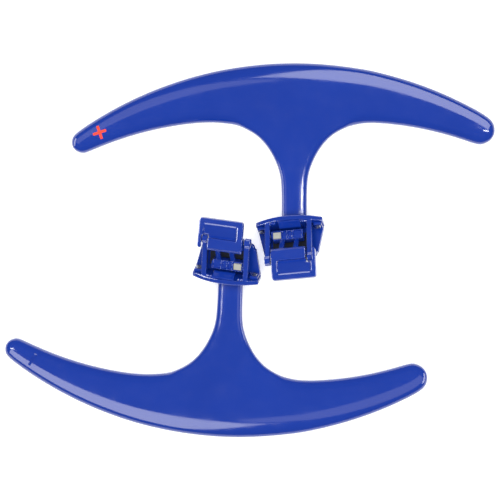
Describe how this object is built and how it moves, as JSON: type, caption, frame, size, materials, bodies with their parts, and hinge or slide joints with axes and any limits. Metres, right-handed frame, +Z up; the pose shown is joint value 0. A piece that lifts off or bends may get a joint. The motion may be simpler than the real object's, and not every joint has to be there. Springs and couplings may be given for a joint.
{
  "type": "sock aid handles",
  "caption": "Pair of curved two-wing grips, each with a spring clamp on its stem that holds a sock's cuff while it is pulled on.",
  "frame": {"origin": "middle of the pair's bounding box, on the table it lies on", "axes": "+X along the wings, +Y from the minus handle to the plus handle, +Z up from the table"},
  "size_m": [0.2665, 0.2038, 0.033],
  "materials": {
    "grip_blue": "glossy",
    "clamp_blue": "glossy",
    "tongue_blue": "glossy",
    "lever_blue": "glossy",
    "jaw_blue": "glossy",
    "soft_charcoal": "matt",
    "plated_steel": "bright",
    "spring_wire": "bright",
    "core_plate": "satin",
    "mark_red": "satin"
  },
  "bodies": {
    "handle_plus": {"plus_grip": "grip_blue", "plus_clamp_frame": "clamp_blue", "plus_tongue": "tongue_blue", "plus_tongue_pad": "soft_charcoal", "plus_tongue_screws": "plated_steel", "plus_stem_screw": "plated_steel", "plus_lever_pin": "plated_steel", "plus_mark": "mark_red"},
    "lever_plus": {"plus_lever": "lever_blue", "plus_spring": "spring_wire", "plus_jaw": "jaw_blue", "plus_jaw_core": "core_plate", "plus_jaw_pad": "soft_charcoal"},
    "handle_minus": {"minus_grip": "grip_blue", "minus_clamp_frame": "clamp_blue", "minus_tongue": "tongue_blue", "minus_tongue_pad": "soft_charcoal", "minus_tongue_screws": "plated_steel", "minus_stem_screw": "plated_steel", "minus_lever_pin": "plated_steel"},
    "lever_minus": {"minus_lever": "lever_blue", "minus_spring": "spring_wire", "minus_jaw": "jaw_blue", "minus_jaw_core": "core_plate", "minus_jaw_pad": "soft_charcoal"}
  },
  "joints": [
    {"name": "plus_lever_press", "type": "hinge", "parent": "handle_plus", "child": "lever_plus", "pos_m": [0.02102, -0.00489, 0.02297], "axis": [0.9792, 0.0928, 0.1807], "range_deg": [0, 18], "stiffness_Nm_per_rad": 0.12, "springref_deg": -34.38, "deforming": ["plus_spring"]},
    {"name": "minus_lever_press", "type": "hinge", "parent": "handle_minus", "child": "lever_minus", "pos_m": [-0.01261, 0.00493, 0.02297], "axis": [-0.9744, 0.1337, -0.1807], "range_deg": [0, 18], "stiffness_Nm_per_rad": 0.12, "springref_deg": -34.38, "deforming": ["minus_spring"]},
    {"name": "minus_handle_lift", "type": "slide", "parent": "handle_plus", "child": "handle_minus", "axis": [0, 0, 1], "range_m": [0, 0.12]}
  ]
}
